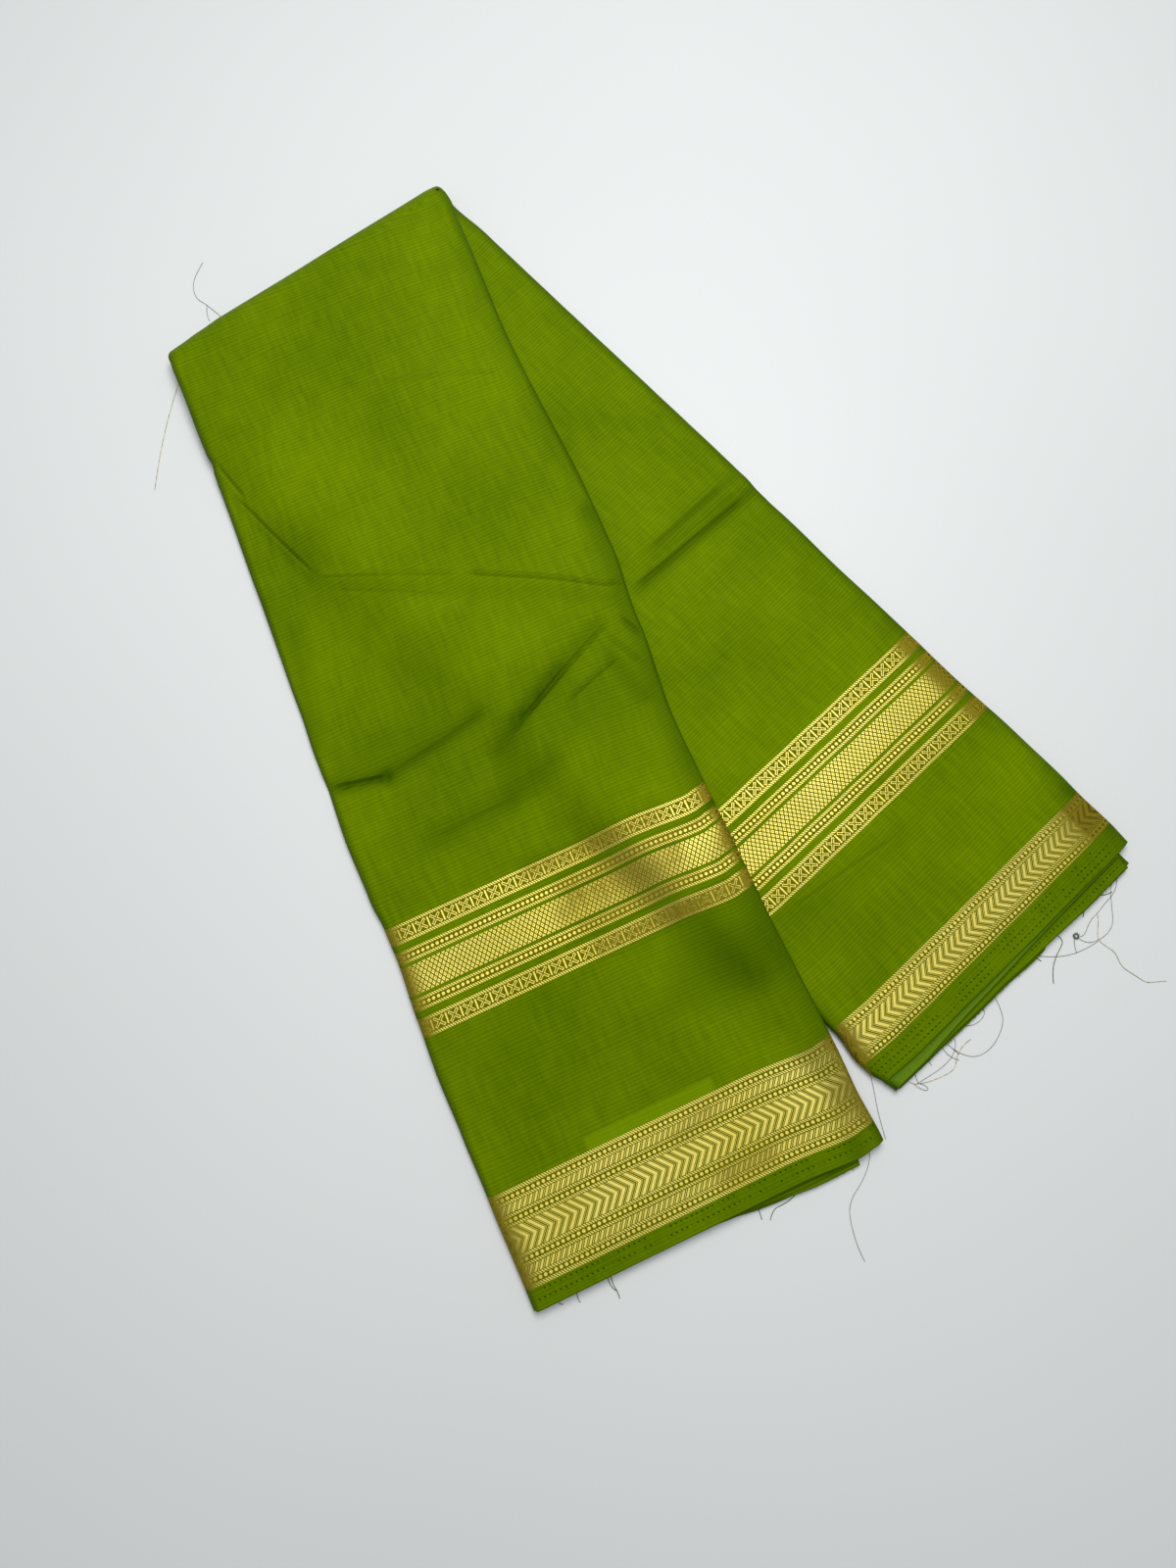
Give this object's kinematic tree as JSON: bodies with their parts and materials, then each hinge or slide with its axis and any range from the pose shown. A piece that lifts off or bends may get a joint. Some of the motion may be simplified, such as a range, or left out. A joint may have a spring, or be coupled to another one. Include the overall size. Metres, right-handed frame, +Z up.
{
  "type": "folded saree",
  "caption": "Saree folded into a strip and turned over slantwise into two flat fanned flaps, green cloth with gold woven bands and borders.",
  "frame": {"origin": "on the surface it rests on, under the middle of the bounding box of the whole folded saree", "axes": "+Z up from the surface; +Y towards the fold, the top of the picture; +X to the right of the picture, towards the end of the back flap"},
  "size_m": [0.5436, 0.6432, 0.0144],
  "materials": {
    "green_silk": "soft low sheen",
    "zari_gold": "woven gold thread, satin"
  },
  "bodies": {
    "root": {"hidden_layers": "green_silk", "top_fold": "green_silk", "front_body_upper": "green_silk", "front_stripe_band": "zari_gold", "front_body_lower": "green_silk", "front_border": "zari_gold", "front_selvedge": "green_silk", "back_body_upper": "green_silk", "back_stripe_band": "zari_gold", "back_body_lower": "green_silk", "back_border": "zari_gold", "back_selvedge": "green_silk"}
  },
  "joints": []
}
